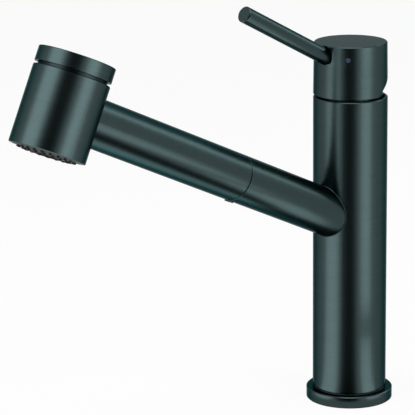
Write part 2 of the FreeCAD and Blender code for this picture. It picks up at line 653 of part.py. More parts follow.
def spray_inlet():
    """Plastic plug in the tube end with the threaded nipple for the hose nut."""
    plug = turned([(WATER_BORE, NIPPLE_START), (NIPPLE_RADIUS, NIPPLE_START), (NIPPLE_RADIUS, PLUG_START),
                   (SPOUT_BORE, PLUG_START), (SPOUT_BORE, PLUG_END), (WATER_TUBE, PLUG_END),
                   (WATER_TUBE, VALVE_END), (NIPPLE_RADIUS - 2, VALVE_END), (NIPPLE_RADIUS - 2, PLUG_START),
                   (WATER_BORE, PLUG_START)])
    for start in SEAL_GROOVES:
        plug = plug.cut(ring(SPOUT_BORE + 1, GROOVE_FLOOR, start, start + GROOVE_WIDTH))
    return placed(plug, TUBE)


def inlet_seals():
    """Two rubber rings round the inlet plug."""
    rings = [ring(SPOUT_BORE, GROOVE_FLOOR, start, start + GROOVE_WIDTH) for start in SEAL_GROOVES]
    return placed(Part.makeCompound(rings), TUBE)


POPPET_RADIUS = 2.6
POPPET_LOW = PLUG_START + 2.0
POPPET_HIGH = PLUG_START + 6.0
BAR_HALF_WIDTH = 0.8
BAR_INSET = 1.0             # from either end of the poppet


def check_valve():
    """Non-return valve insert: shell, seat and poppet on a cross bar."""
    shell = ring(NIPPLE_RADIUS - 2, WATER_BORE, PLUG_START, VALVE_END)
    reach = WATER_BORE + 0.5
    bar = block(-reach, reach, -BAR_HALF_WIDTH, BAR_HALF_WIDTH, POPPET_LOW + BAR_INSET,
                POPPET_HIGH - BAR_INSET)
    poppet = cylinder(POPPET_RADIUS, POPPET_LOW, POPPET_HIGH)
    return placed(fused([shell, bar, poppet]), TUBE)


FERRULE_RADIUS = HOSE_RADIUS + 1.1
FERRULE_START = HOSE_END - 19.0
HOSE_SEAL = 2.0
FERRULE_END = NIPPLE_START - HOSE_SEAL


def hose_ferrule():
    """Crimped steel ferrule with a flange and an inner barb."""
    barb = HOSE_BORE - 0.2
    step = HOSE_END + 0.3
    inner = HOSE_RADIUS + 0.1
    flange = NIPPLE_RADIUS - 0.1
    bore = barb - 0.7
    ferrule = turned([(inner, FERRULE_START), (FERRULE_RADIUS, FERRULE_START), (FERRULE_RADIUS, step),
                      (flange, step), (flange, FERRULE_END), (bore, FERRULE_END),
                      (bore, FERRULE_START + 3), (barb, FERRULE_START + 3), (barb, step), (inner, step)])
    return placed(ferrule, TUBE)


def hose_seal():
    """Flat rubber washer between ferrule and nipple."""
    return placed(ring(NIPPLE_RADIUS - 0.1, WATER_BORE, FERRULE_END, NIPPLE_START), TUBE)


def hose_nut():
    """Conical nut that holds the hose on the nipple and centres the docked spray."""
    shoulder = HOSE_END + 0.3
    end = NIPPLE_START + 11.0
    nut = turned([(FERRULE_RADIUS, FERRULE_START + 4), (FERRULE_RADIUS + 1, FERRULE_START + 4),
                  (NUT_RADIUS, shoulder - 2), (NUT_RADIUS, end - EDGE), (NUT_RADIUS - EDGE, end),
                  (NIPPLE_RADIUS, end), (NIPPLE_RADIUS, shoulder), (FERRULE_RADIUS, shoulder)])
    return placed(nut, TUBE)


def waterway_tube():
    """Plastic tube from the inlet to the diverter."""
    return placed(ring(WATER_TUBE, WATER_BORE, VALVE_END, WATER_TUBE_END), TUBE)


# --- spray: head ---------------------------------------------------------------
COLLAR_FLOOR = HEAD_ABOVE - 6.5
COLLAR_TOP = HEAD_ABOVE + GROOVE + 2.0
DIVERTER_TOP = COLLAR_FLOOR - 2.0
DIVERTER_LOW = -13.0
DIVERTER_RADIUS = 15.5
FACE_BACK = -19.0
FACE_RIM = -HEAD_BELOW
SKIRT_LOW = HEAD_ABOVE + GROOVE
BUTTON_TOP = SKIRT_LOW + BUTTON_HEIGHT
BUTTON_ROOF = BUTTON_TOP - 2.8
NOZZLE_ROWS = ((13.0, 16), (16.5, 22))


def head_barrel():
    """Turned barrel of the spray head with the opening for the tube."""
    barrel = placed(broken_tube(HEAD_RADIUS, HEAD_BORE, -HEAD_BELOW, HEAD_ABOVE, 0.4), HEAD)
    opening = placed(cylinder(SPOUT_BORE, HEAD_DISTANCE - 1.5 * HEAD_RADIUS, HEAD_DISTANCE - 8), TUBE)
    return barrel.cut(opening)


def head_collar():
    """Fixed collar seen in the groove; it guides the button and seats its spring."""
    inner = HEAD_BORE - 2.0
    collar = turned([(BUTTON_STEM + FIT, COLLAR_FLOOR), (HEAD_BORE, COLLAR_FLOOR), (HEAD_BORE, COLLAR_TOP),
                     (inner, COLLAR_TOP), (inner, COLLAR_FLOOR + 3), (BUTTON_STEM + FIT, COLLAR_FLOOR + 3)])
    return placed(collar, HEAD)


DIVERTER_PORTS = 4
DIVERTER_PORT_RING = 11.5
DIVERTER_PORT_RADIUS = 1.8
DIVERTER_PORT_TOP = -7.0
SOCKET_LENGTH = 4.0
SOCKET_WALL = 1.6


def diverter_body():
    """Water distributor in the head, with side socket, centre bore and lower flange."""
    socket_mouth = HEAD_DISTANCE - WATER_TUBE_END + SOCKET_LENGTH
    body = fused([cylinder(DIVERTER_RADIUS, DIVERTER_LOW, DIVERTER_TOP),
                  cylinder(HEAD_BORE - FIT, DIVERTER_LOW, DIVERTER_LOW + 3),
                  cross_cylinder(WATER_TUBE + SOCKET_WALL, 0, 0, 0, socket_mouth)])
    body = body.cut(cylinder(BUTTON_BORE, DIVERTER_LOW, DIVERTER_TOP))
    body = body.cut(cross_cylinder(WATER_TUBE, 0, 0, HEAD_DISTANCE - WATER_TUBE_END, socket_mouth))
    body = body.cut(cross_cylinder(WATER_BORE, 0, 0, 0, socket_mouth))
    for turn in range(DIVERTER_PORTS):
        x, y = polar(DIVERTER_PORT_RING, 45 + 90 * turn)
        body = body.cut(cylinder(DIVERTER_PORT_RADIUS, DIVERTER_LOW, DIVERTER_PORT_TOP, x, y))
    return placed(body, HEAD)


def collar_seal():
    """Rubber ring between diverter body and collar, round the button stem."""
    return placed(ring(BUTTON_BORE + 3, BUTTON_STEM + FIT, DIVERTER_TOP, COLLAR_FLOOR), HEAD)


def face_rim_seal():
    """Rubber ring between the diverter flange and the spray face."""
    return placed(ring(HEAD_BORE - 0.1, HEAD_BORE - 2.0, DIVERTER_LOW - 1.5, DIVERTER_LOW), HEAD)


def nozzle_places():
    """Centres of the spray nozzles."""
    places = []
    for radius, count in NOZZLE_ROWS:
        places += [polar(radius, 360.0 * turn / count) for turn in range(count)]
    return places


def dome_height(radius):
    """Height of the spray face's domed surface at a radius."""
    return FACE_RIM - FACE_DOME * (1 - (radius / HEAD_BORE) ** 2)


def spray_face():
    """Black domed face plate with nozzle holes and a hole for the aerator."""
    outer = HEAD_BORE - 0.1
    plate = domed(outer, FACE_BACK, FACE_RIM, FACE_RIM - FACE_DOME)
    rim = ring(outer, HEAD_BORE - 2.0, FACE_BACK - 1, DIVERTER_LOW - 1.5)
    plate = fused([plate, rim]).cut(cylinder(AERATOR_RADIUS, -2 * HEAD_BELOW, FACE_BACK))
    holes = [cylinder(NOZZLE_RADIUS, -2 * HEAD_BELOW, FACE_BACK, x, y) for x, y in nozzle_places()]
    return placed(plate.cut(Part.makeCompound(holes)), HEAD)


def nozzle_mat():
    """Soft mat behind the face, with one nozzle through each hole."""
    mat = ring(HEAD_BORE - 2.2, AERATOR_RADIUS + 0.5, FACE_BACK, FACE_BACK + 1.2)
    pins = []
    for x, y in nozzle_places():
        tip = dome_height(math.hypot(x, y)) - 0.7
        pins.append(cylinder(NOZZLE_RADIUS, tip, FACE_BACK, x, y))
    mat = mat.multiFuse(pins)
    for x, y in nozzle_places():
        mat = mat.cut(cylinder(0.4, -2 * HEAD_BELOW, FACE_BACK + 1.2, x, y))
    return placed(mat, HEAD)


AERATOR_LOW = FACE_RIM - FACE_DOME + 0.1
AERATOR_STEP = AERATOR_LOW + 3.0
MESH_LOW = AERATOR_LOW + 0.8
MESH_RADIUS = AERATOR_RADIUS - 1.3
MESH_HOLE = 0.55
MESH_PITCH = 1.7


def aerator_housing():
    """Ring that holds the aerator mesh in the middle of the face."""
    return placed(turned([(MESH_RADIUS, AERATOR_LOW), (AERATOR_RADIUS, AERATOR_LOW),
                          (AERATOR_RADIUS, DIVERTER_LOW), (MESH_RADIUS - 1.2, DIVERTER_LOW),
                          (MESH_RADIUS - 1.2, AERATOR_STEP), (MESH_RADIUS, AERATOR_STEP)]), HEAD)


def aerator_mesh():
    """Perforated disc in the aerator."""
    disc = cylinder(MESH_RADIUS, MESH_LOW, AERATOR_STEP)
    holes = []
    for row in range(-4, 5):
        for column in range(-4, 5):
            x = (column + 0.5 * (row % 2)) * MESH_PITCH
            y = row * MESH_PITCH * math.cos(math.radians(30))
            if math.hypot(x, y) < MESH_RADIUS - 2 * MESH_HOLE:
                holes.append(cylinder(MESH_HOLE, MESH_LOW, AERATOR_STEP, x, y))
    return placed(disc.cut(Part.makeCompound(holes)), HEAD)


# --- mode button ---------------------------------------------------------------
STEM_LOW = -6.0
SEAT_LOW = -1.0
SEAT_HIGH = 1.0
SEAT_RADIUS = BUTTON_STEM - 1.2
STUB_RADIUS = BUTTON_STEM - 1.0
SPRING_WIRE = 0.6
SPRING_RADIUS = 8.0
SPRING_TURNS = 4


def button_cap():
    """Crowned push cap that covers the top of the head."""
    inner = HEAD_BORE + GAP
    rim_top = BUTTON_TOP - BUTTON_CROWN
    shoulder = rim_top - BUTTON_CHAMFER
    edge_radius = HEAD_RADIUS - BUTTON_CHAMFER
    shell = cylinder(HEAD_RADIUS, SKIRT_LOW, shoulder)
    cone = Part.makeCone(HEAD_RADIUS, edge_radius, BUTTON_CHAMFER, V(0, 0, shoulder))
    crown = domed(edge_radius, shoulder, rim_top, BUTTON_TOP)
    cap = fused([shell, cone, crown]).cut(cylinder(inner, SKIRT_LOW, BUTTON_ROOF))
    cap = fused([cap, cylinder(BUTTON_STEM + 1.5, BUTTON_ROOF - 2, BUTTON_ROOF)])
    return placed(cap.cut(cylinder(STUB_RADIUS, BUTTON_ROOF - 2, BUTTON_ROOF + 1)), HEAD)


def button_stem():
    """Steel stem from the button down to the diverter seat."""
    stem = turned([(0, STEM_LOW), (BUTTON_STEM, STEM_LOW), (BUTTON_STEM, SEAT_LOW), (SEAT_RADIUS, SEAT_LOW),
                   (SEAT_RADIUS, SEAT_HIGH), (BUTTON_STEM, SEAT_HIGH), (BUTTON_STEM, BUTTON_ROOF - 2),
                   (STUB_RADIUS, BUTTON_ROOF - 2), (STUB_RADIUS, BUTTON_ROOF + 1), (0, BUTTON_ROOF + 1)])
    return placed(stem, HEAD)


def diverter_seal():
    """Rubber ring on the stem that closes one outlet or the other."""
    return placed(ring(BUTTON_BORE - FIT, SEAT_RADIUS, SEAT_LOW, SEAT_HIGH), HEAD)


def button_spring():
    """Return spring between collar and button."""
    low = COLLAR_FLOOR + 3 + SPRING_WIRE
    high = BUTTON_ROOF - SPRING_WIRE
    pitch = (high - low) / SPRING_TURNS
    helix = Part.makeHelix(pitch, high - low, SPRING_RADIUS)
    section = Part.Wire(Part.makeCircle(SPRING_WIRE - 0.05, V(SPRING_RADIUS, 0, 0), V(0, 1, 0)))
    coil = Part.Wire(helix.Edges).makePipeShell([section], True, True)
    coil.translate(V(0, 0, low))
    return placed(coil, HEAD)


# --- all nodes -----------------------------------------------------------------
NODES = {
    "deck_flange": deck_flange,
    "deck_gasket": deck_gasket,
    "mounting_shank": mounting_shank,
    "under_deck_gasket": under_deck_gasket,
    "clamp_washer": clamp_washer,
    "mounting_nut": mounting_nut,
    "valve_column": valve_column,
    "lower_glide_ring": lower_glide_ring,
    "upper_glide_ring": upper_glide_ring,
    "cartridge_base": cartridge_base,
    "cartridge_seals": cartridge_seals,
    "cartridge_housing": cartridge_housing,
    "fixed_ceramic_disc": fixed_ceramic_disc,
    "moving_ceramic_disc": moving_ceramic_disc,
    "disc_driver": disc_driver,
    "stem_carrier": stem_carrier,
    "pivot_pin": pivot_pin,
    "stem_lever": stem_lever,
    "cartridge_nut": cartridge_nut,
    "cartridge_cover": cartridge_cover,
    "lever_cap": lever_cap,
    "lever_rod": lambda: placed(lever_rod(), ROD),
    "grub_screw": grub_screw,
    "screw_plug": screw_plug,
    "cold_index": lambda: index_dot(1),
    "hot_index": lambda: index_dot(-1),
    "body_sleeve": body_sleeve,
    "spout_tube": spout_tube,
    "docking_bush": docking_bush,
    "hose_guide": hose_guide,
    "spray_hose": spray_hose,
    "hose_connector": hose_connector,
    "spray_tube": spray_tube,
    "spray_inlet": spray_inlet,
    "inlet_seals": inlet_seals,
    "check_valve": check_valve,
    "hose_ferrule": hose_ferrule,
    "hose_seal": hose_seal,
    "hose_nut": hose_nut,
    "waterway_tube": waterway_tube,
    "head_barrel": head_barrel,
    "head_collar": head_collar,
    "diverter_body": diverter_body,
    "collar_seal": collar_seal,
    "face_rim_seal": face_rim_seal,
    "spray_face": spray_face,
    "nozzle_mat": nozzle_mat,
    "aerator_housing": aerator_housing,
    "aerator_mesh": aerator_mesh,
    "button_cap": button_cap,
    "button_stem": button_stem,
    "diverter_seal": diverter_seal,
    "button_spring": button_spring,
}


def main():
    """Build every node and write its STEP file."""
    os.makedirs("parts", exist_ok=True)
    for name, build in NODES.items():
        shape = build()
        solids = shape.Solids
        if not solids or not all(solid.isValid() for solid in solids):
            raise RuntimeError(name + " did not build into valid solids")
        shape = solids[0] if len(solids) == 1 else Part.makeCompound(solids)
        print(name, len(solids), round(sum(solid.Volume for solid in solids), 1))
        shape.exportStep("parts/" + name + ".step")


main()
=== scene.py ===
import json
import math

import bpy
from mathutils import Matrix, Vector


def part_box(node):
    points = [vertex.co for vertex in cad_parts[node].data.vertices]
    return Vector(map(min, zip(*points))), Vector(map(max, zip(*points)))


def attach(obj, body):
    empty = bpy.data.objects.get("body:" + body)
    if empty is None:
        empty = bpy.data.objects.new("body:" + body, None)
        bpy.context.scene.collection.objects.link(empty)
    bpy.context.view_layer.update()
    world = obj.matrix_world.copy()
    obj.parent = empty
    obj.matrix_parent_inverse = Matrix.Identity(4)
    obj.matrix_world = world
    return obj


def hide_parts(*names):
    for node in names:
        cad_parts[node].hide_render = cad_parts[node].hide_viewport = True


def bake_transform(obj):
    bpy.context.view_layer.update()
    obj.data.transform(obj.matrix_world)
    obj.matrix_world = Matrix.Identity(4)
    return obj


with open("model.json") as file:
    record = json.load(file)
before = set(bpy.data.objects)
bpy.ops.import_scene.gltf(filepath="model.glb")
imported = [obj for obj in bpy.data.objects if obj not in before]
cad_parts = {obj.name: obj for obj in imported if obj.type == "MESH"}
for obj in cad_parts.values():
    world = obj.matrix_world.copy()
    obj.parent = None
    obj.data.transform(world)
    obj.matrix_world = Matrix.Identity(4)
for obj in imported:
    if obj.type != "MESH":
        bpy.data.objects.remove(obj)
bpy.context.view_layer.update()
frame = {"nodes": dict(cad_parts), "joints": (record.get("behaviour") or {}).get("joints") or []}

bl_info = {
    "name": "Pull-out kitchen faucet",
    "version": (1, 0, 0),
    "blender": (4, 5, 0),
    "location": "3D View > Sidebar > Faucet",
    "description": "Finishes, hose and studio for a single-lever kitchen faucet with a pull-out spray",
    "category": "Object",
}

# Directions of the turned pieces: the spout's and the head's come from their joints, the lever's from its rise.
JOINTS = {joint["name"]: joint for joint in frame["joints"]}
UP = Vector((0.0, 0.0, 1.0))
ACROSS = Vector((1.0, 0.0, 0.0))
SPOUT_AXIS = Vector(JOINTS["spray_pull"]["axis"]).normalized()
HEAD_AXIS = -Vector(JOINTS["mode_press"]["axis"]).normalized()
LEVER_RISE = math.radians(27.2)
LEVER_AXIS = Vector((0.0, -math.cos(LEVER_RISE), math.sin(LEVER_RISE)))

# Sizes of the modelled pieces, in metres.
SPOUT_ORIGIN = Vector((0.0, 0.0, 0.114))
SPOUT_RADIUS = 0.0145
BODY_RADIUS = 0.023
HEAD_DISTANCE = 0.250
WELD_RADIUS = 0.00045
HOSE_RADIUS = 0.0054
HOSE_BEND = 0.045
HOSE_END = 0.0855
BRAID_STRANDS = 24
BRAID_DEPTH = 0.00028
BRAID_PITCH = 0.011
SPRING_LOW = 0.01755
SPRING_HIGH = 0.02790
SPRING_RADIUS = 0.008
SPRING_WIRE = 0.00055
SPRING_TURNS = 4

# How finely the modelled pieces are divided.
WELD_STEPS = 160
SPRING_STEPS = 48
ROUND_SIDES = 10
HOSE_STEP = 0.0011

# Surface detail: noise scales per metre, shares of brightness, spreads of roughness, and bumps as strength and
# distance.
CLOUD_SCALE = 38.0
CLOUD_DETAIL = 3.0
LINE_DETAIL = 2.0
BLOTCH_DETAIL = 4.0
PIT_DETAIL = 1.0
RAMP_ENDS = (0.30, 0.70)
GRAPHITE_TONES = (0.90, 1.10)
GRAPHITE_SPREAD = 0.02
GRAPHITE_CLOUD = 0.01
GRAPHITE_BUMP = (0.03, 0.00002)
# Lightness of the head collar's graphite: painted shade of the groove it sits in.
PAINTED_GROOVE_SHADE = 0.45
WELD_LIGHTNESS = 0.9
METAL_TONES = (0.85, 1.1)
METAL_SPREAD = 0.08
METAL_BUMP = (0.2, 0.00003)
MOULDED_SPREAD = 0.06
PIT_STRENGTH = 0.3

# A face counts as a flat end when its normal is this close to the piece's axis.
FLAT_LIMIT = 0.9

# Small part of the grain direction that shows only where a flat end has no direction of its own.
FLAT_GRAIN = (0.002, 0.0, 0.0)

# The camera: where it stands round the column, where it looks, and its distance and height in metres.
CAMERA_TURN = math.radians(45.09)
CAMERA_AIM = math.radians(48.39)
CAMERA_PITCH = math.radians(14.18)
CAMERA_ROLL = math.radians(-0.54)
CAMERA_DISTANCE = 1.5402
CAMERA_HEIGHT = 0.5122
CAMERA_SENSOR = 36.0
CAMERA_REACH = 50.0

# Standing softboxes: name, turn from the camera in degrees, distance, height of the middle, width and height.
LEFT_SOFTBOX = ("left_softbox", -54.0, 1.25, 0.76, 0.95, 1.5)
RIGHT_SOFTBOX = ("right_softbox", 51.0, 1.25, 0.76, 0.78, 1.5)
REAR_SOFTBOX = ("rear_softbox", 122.0, 1.4, 0.72, 0.45, 1.4)
TOP_PLACE = Vector((0.2, -0.3, 1.5))
TOP_TARGET = Vector((0.0, -0.08, 0.14))
TOP_SIZE = 1.0

# Cards that show only in reflections, as painted reflections: name, first and last turn from the camera in
# degrees, near and far distance, and height of the fold.
# Dark card in front: a painted dark reflection on the metal.
FRONT_DARK_REFLECTION = ("front_painted_dark_reflection", -23.0, 18.0, 0.04, 1.3, 1.4)
# Glowing cards below the softboxes: painted reflections of the softboxes on the floor.
SOFTBOX_REFLECTIONS = (("left_painted_reflection", -76.0, -33.0, 0.04, 1.2, 0.0),
              ("right_near_painted_reflection", 33.0, 66.0, 0.04, 0.165, 0.0),
              ("right_far_painted_reflection", 33.0, 66.0, 0.225, 1.2, 0.0))
CARD_LIFT = 0.001
# Glow colour and tone spread of the cards that paint the softboxes' reflections.
REFLECTION_GLOW_COLOUR = (0.98, 0.98, 0.98)
REFLECTION_GLOW_TONES = (0.99, 1.01)

FLOOR_ROUGHNESS = 0.9
FLOOR_TONES = (0.995, 1.005)
WHITE = (1.0, 1.0, 1.0, 1.0)
BLACK = (0.0, 0.0, 0.0, 1.0)


# --- settings a user would change ----------------------------------------------
class FaucetFinishSettings(bpy.types.PropertyGroup):
    """Colours and surface qualities of the faucet."""

    metal_colour: bpy.props.FloatVectorProperty(
        name="Graphite colour", description="Reflectance of the graphite coating",
        subtype="COLOR", size=3, min=0.0, max=1.0, default=(0.034, 0.052, 0.053))
    metal_roughness: bpy.props.FloatProperty(
        name="Graphite roughness", description="How far the satin coating spreads highlights",
        subtype="FACTOR", min=0.0, max=1.0, default=0.23)
    brushing: bpy.props.FloatProperty(
        name="Brushing", description="How far highlights stretch across the brushed grain",
        subtype="FACTOR", min=0.0, max=1.0, default=0.75)
    edge_tint: bpy.props.FloatVectorProperty(
        name="Edge tint", description="Reflectance of the coating where it is seen edge-on",
        subtype="COLOR", size=3, min=0.0, max=1.0, default=(0.34, 0.38, 0.385))
    grain_density: bpy.props.FloatProperty(
        name="Grain density", description="Brushing lines per metre across the grain",
        min=100.0, max=20000.0, default=4200.0)
    brass_colour: bpy.props.FloatVectorProperty(
        name="Brass colour", description="Colour of the inner brass pieces",
        subtype="COLOR", size=3, min=0.0, max=1.0, default=(0.62, 0.44, 0.17))
    steel_colour: bpy.props.FloatVectorProperty(
        name="Steel colour", description="Colour of the bright steel pieces",
        subtype="COLOR", size=3, min=0.0, max=1.0, default=(0.55, 0.55, 0.54))
    hose_colour: bpy.props.FloatVectorProperty(
        name="Hose colour", description="Colour of the braided hose",
        subtype="COLOR", size=3, min=0.0, max=1.0, default=(0.035, 0.036, 0.038))
    cold_colour: bpy.props.FloatVectorProperty(
        name="Cold mark", description="Colour of the cold index dot",
        subtype="COLOR", size=3, min=0.0, max=1.0, default=(0.022, 0.040, 0.075))
    hot_colour: bpy.props.FloatVectorProperty(
        name="Hot mark", description="Colour of the hot index dot",
        subtype="COLOR", size=3, min=0.0, max=1.0, default=(0.42, 0.04, 0.03))


class FaucetStageSettings(bpy.types.PropertyGroup):
    """Floor, lamps and camera of the studio."""

    floor_colour: bpy.props.FloatVectorProperty(
        name="Floor colour", description="Colour of the floor where light falls on it",
        subtype="COLOR", size=3, min=0.0, max=1.0, default=(0.95, 0.95, 0.95))
    floor_size: bpy.props.FloatProperty(
        name="Floor size", description="Side of the square floor", unit="LENGTH", min=1.0, default=12.0)
    left_power: bpy.props.FloatProperty(
        name="Left softbox", description="Power of the tall softbox on the left", subtype="POWER",
        min=0.0, default=13.5)
    right_power: bpy.props.FloatProperty(
        name="Right softbox", description="Power of the tall softbox on the right", subtype="POWER",
        min=0.0, default=11.5)
    rear_power: bpy.props.FloatProperty(
        name="Rear softbox", description="Power of the narrow softbox behind on the right", subtype="POWER",
        min=0.0, default=6.0)
    # The cards' glow paints the softboxes' reflections on the floor; the cards are no lamps.
    painted_reflection_glow: bpy.props.FloatProperty(
        name="Painted reflection glow", description="Glow of the cards that carry the softboxes' reflections down to the floor",
        min=0.0, default=3.0)
    shadow_share: bpy.props.FloatProperty(
        name="Shadow share", description="How much of the object's shadow the white floor shows",
        subtype="FACTOR", min=0.0, max=1.0, default=0.08)
    top_power: bpy.props.FloatProperty(
        name="Top softbox", description="Power of the overhead softbox", subtype="POWER", min=0.0, default=6.0)
    fill: bpy.props.FloatProperty(
        name="Fill", description="Strength of the even light from all round", min=0.0, default=0.25)
    lens: bpy.props.FloatProperty(
        name="Lens", description="Focal length of the camera in millimetres", min=10.0, default=220.97)


def finish():
    return bpy.context.scene.faucet_finish


def studio():
    return bpy.context.scene.faucet_stage


# --- shader node helpers -------------------------------------------------------
def feed(tree, socket, value):
    """Link an input to another socket, or set its value."""
    if isinstance(value, bpy.types.NodeSocket):
        tree.links.new(value, socket)
    else:
        socket.default_value = value


def add(tree, kind, **inputs):
    """New node with some of its inputs set to values or linked to sockets."""
    node = tree.nodes.new(kind)
    for key, value in inputs.items():
        feed(tree, node.inputs[key], value)
    return node


def maths(tree, operation, first, second=0.0):
    """Math node; returns its output."""
    node = tree.nodes.new("ShaderNodeMath")
    node.operation = operation
    for socket, value in zip(node.inputs, (first, second)):
        feed(tree, socket, value)
    return node.outputs[0]


def vector_maths(tree, operation, first, second=None, scale=None):
    """Vector math node."""
    node = tree.nodes.new("ShaderNodeVectorMath")
    node.operation = operation
    for socket, value in zip((node.inputs[0], node.inputs[1], node.inputs[3]), (first, second, scale)):
        if value is not None:
            feed(tree, socket, value)
    return node


def new_group(name, inputs, outputs):
    """Empty shader group with float or vector sockets."""
    group = bpy.data.node_groups.new(name, "ShaderNodeTree")
    for socket_name, kind, default in inputs:
        socket = group.interface.new_socket(socket_name, in_out="INPUT", socket_type=kind)
        socket.default_value = default
    for socket_name, kind in outputs:
        group.interface.new_socket(socket_name, in_out="OUTPUT", socket_type=kind)
    return group, group.nodes.new("NodeGroupInput"), group.nodes.new("NodeGroupOutput")


def brushed_group():
    """Fine lines that run round a turned piece and straight across its flat ends."""
    found = bpy.data.node_groups.get("brushed_lines")
    if found:
        return found
    group, given, result = new_group(
        "brushed_lines",
        [("Axis", "NodeSocketVector", (0.0, 0.0, 1.0)), ("Density", "NodeSocketFloat", 4000.0),
         ("Streak", "NodeSocketFloat", 60.0)],
        [("Lines", "NodeSocketFloat"), ("Cloud", "NodeSocketFloat")])
    place = add(group, "ShaderNodeTexCoord").outputs["Object"]
    normal = add(group, "ShaderNodeNewGeometry").outputs["Normal"]
    axis = given.outputs["Axis"]
    height = vector_maths(group, "DOT_PRODUCT", place, axis).outputs["Value"]
    along = vector_maths(group, "SCALE", axis, scale=maths(group, "MULTIPLY", height, given.outputs["Density"]))
    round_about = vector_maths(group, "SCALE", place, scale=given.outputs["Streak"])
    turned = vector_maths(group, "ADD", along.outputs[0], round_about.outputs[0]).outputs[0]
    separate = add(group, "ShaderNodeSeparateXYZ", Vector=place)
    across = maths(group, "MULTIPLY", separate.outputs["Y"], given.outputs["Density"])
    lengthwise = maths(group, "MULTIPLY", separate.outputs["X"], given.outputs["Streak"])
    straight = add(group, "ShaderNodeCombineXYZ", X=lengthwise, Y=across).outputs[0]
    turned_noise, straight_noise = (
        add(group, "ShaderNodeTexNoise", Vector=each, Scale=1.0, Detail=LINE_DETAIL).outputs["Fac"]
        for each in (turned, straight))
    facing = maths(group, "ABSOLUTE", vector_maths(group, "DOT_PRODUCT", normal, axis).outputs["Value"])
    flat = maths(group, "GREATER_THAN", facing, FLAT_LIMIT)
    mix = add(group, "ShaderNodeMix", Factor=flat, A=turned_noise, B=straight_noise)
    cloud = add(group, "ShaderNodeTexNoise", Vector=place, Scale=CLOUD_SCALE, Detail=CLOUD_DETAIL)
    group.links.new(mix.outputs["Result"], result.inputs["Lines"])
    group.links.new(cloud.outputs["Fac"], result.inputs["Cloud"])
    return group


def mottle_group():
    """Soft blotches and fine pits for moulded and cast surfaces."""
    found = bpy.data.node_groups.get("mottled_surface")
    if found:
        return found
    group, given, result = new_group(
        "mottled_surface",
        [("Blotch Scale", "NodeSocketFloat", 60.0), ("Pit Scale", "NodeSocketFloat", 2500.0)],
        [("Blotches", "NodeSocketFloat"), ("Pits", "NodeSocketFloat")])
    place = add(group, "ShaderNodeTexCoord").outputs["Object"]
    blotches = add(group, "ShaderNodeTexNoise", Vector=place, Scale=given.outputs["Blotch Scale"],
                   Detail=BLOTCH_DETAIL)
    pits = add(group, "ShaderNodeTexNoise", Vector=place, Scale=given.outputs["Pit Scale"], Detail=PIT_DETAIL)
    group.links.new(blotches.outputs["Fac"], result.inputs["Blotches"])
    group.links.new(pits.outputs["Fac"], result.inputs["Pits"])
    return group


def spread(tree, value, low, high):
    """Value from 0..1 mapped to low..high."""
    node = tree.nodes.new("ShaderNodeMapRange")
    tree.links.new(value, node.inputs["Value"])
    node.inputs["To Min"].default_value = low
    node.inputs["To Max"].default_value = high
    return node.outputs["Result"]


def tinted(tree, value, colour, dark, light):
    """Colour that varies between two brightnesses of itself."""
    ramp = tree.nodes.new("ShaderNodeValToRGB")
    for element, position, tone in zip(ramp.color_ramp.elements, RAMP_ENDS, (dark, light)):
        element.position = position
        element.color = [min(1.0, part * tone) for part in colour] + [1.0]
    tree.links.new(value, ramp.inputs["Fac"])
    return ramp.outputs["Color"]


def bumped(tree, height, strength, distance):
    """Bump normal from a height."""
    return add(tree, "ShaderNodeBump", Height=height, Strength=strength, Distance=distance).outputs["Normal"]


def new_material(name):
    """Empty node material and its Principled BSDF."""
    material = bpy.data.materials.new(name)
    material.use_nodes = True
    return material, material.node_tree, material.node_tree.nodes["Principled BSDF"]


def use_group(tree, group):
    """Node that places a shader group in a material."""
    node = tree.nodes.new("ShaderNodeGroup")
    node.node_tree = group
    return node


def grain_direction(tree, axis):
    """Direction of the grain: round the axis on turned walls, and straight across flat ends."""
    turn = tree.nodes.new("ShaderNodeVectorTransform")
    turn.vector_type = "VECTOR"
    turn.convert_from = "OBJECT"
    turn.convert_to = "WORLD"
    turn.inputs["Vector"].default_value = axis
    normal = add(tree, "ShaderNodeNewGeometry").outputs["Normal"]
    around = vector_maths(tree, "CROSS_PRODUCT", turn.outputs["Vector"], normal).outputs[0]
    return vector_maths(tree, "ADD", around, FLAT_GRAIN).outputs[0]


def background_rays(tree):
    """1 for rays that show the background: from the camera, off gloss and through glass."""
    path = tree.nodes.new("ShaderNodeLightPath").outputs
    seen = maths(tree, "ADD", path["Is Camera Ray"], path["Is Glossy Ray"])
    return maths(tree, "MINIMUM", maths(tree, "ADD", seen, path["Is Transmission Ray"]), 1.0)


# --- materials -----------------------------------------------------------------
def graphite(name, axis, lightness=1.0):
    """Satin graphite coating over brushed metal, with the grain round an axis."""
    material, tree, shader = new_material(name)
    lines = use_group(tree, brushed_group())
    lines.inputs["Axis"].default_value = axis
    lines.inputs["Density"].default_value = finish().grain_density
    colour = [part * lightness for part in finish().metal_colour]
    rough = finish().metal_roughness
    tree.links.new(tinted(tree, lines.outputs["Lines"], colour, *GRAPHITE_TONES), shader.inputs["Base Color"])
    grain = spread(tree, lines.outputs["Lines"], rough - GRAPHITE_SPREAD, rough + GRAPHITE_SPREAD)
    cloud = spread(tree, lines.outputs["Cloud"], -GRAPHITE_CLOUD, GRAPHITE_CLOUD)
    tree.links.new(maths(tree, "ADD", grain, cloud), shader.inputs["Roughness"])
    tree.links.new(bumped(tree, lines.outputs["Lines"], *GRAPHITE_BUMP), shader.inputs["Normal"])
    tree.links.new(grain_direction(tree, axis), shader.inputs["Tangent"])
    shader.inputs["Anisotropic"].default_value = finish().brushing
    shader.inputs["Specular Tint"].default_value = [*finish().edge_tint, 1.0]
    shader.inputs["Metallic"].default_value = 1.0
    return material


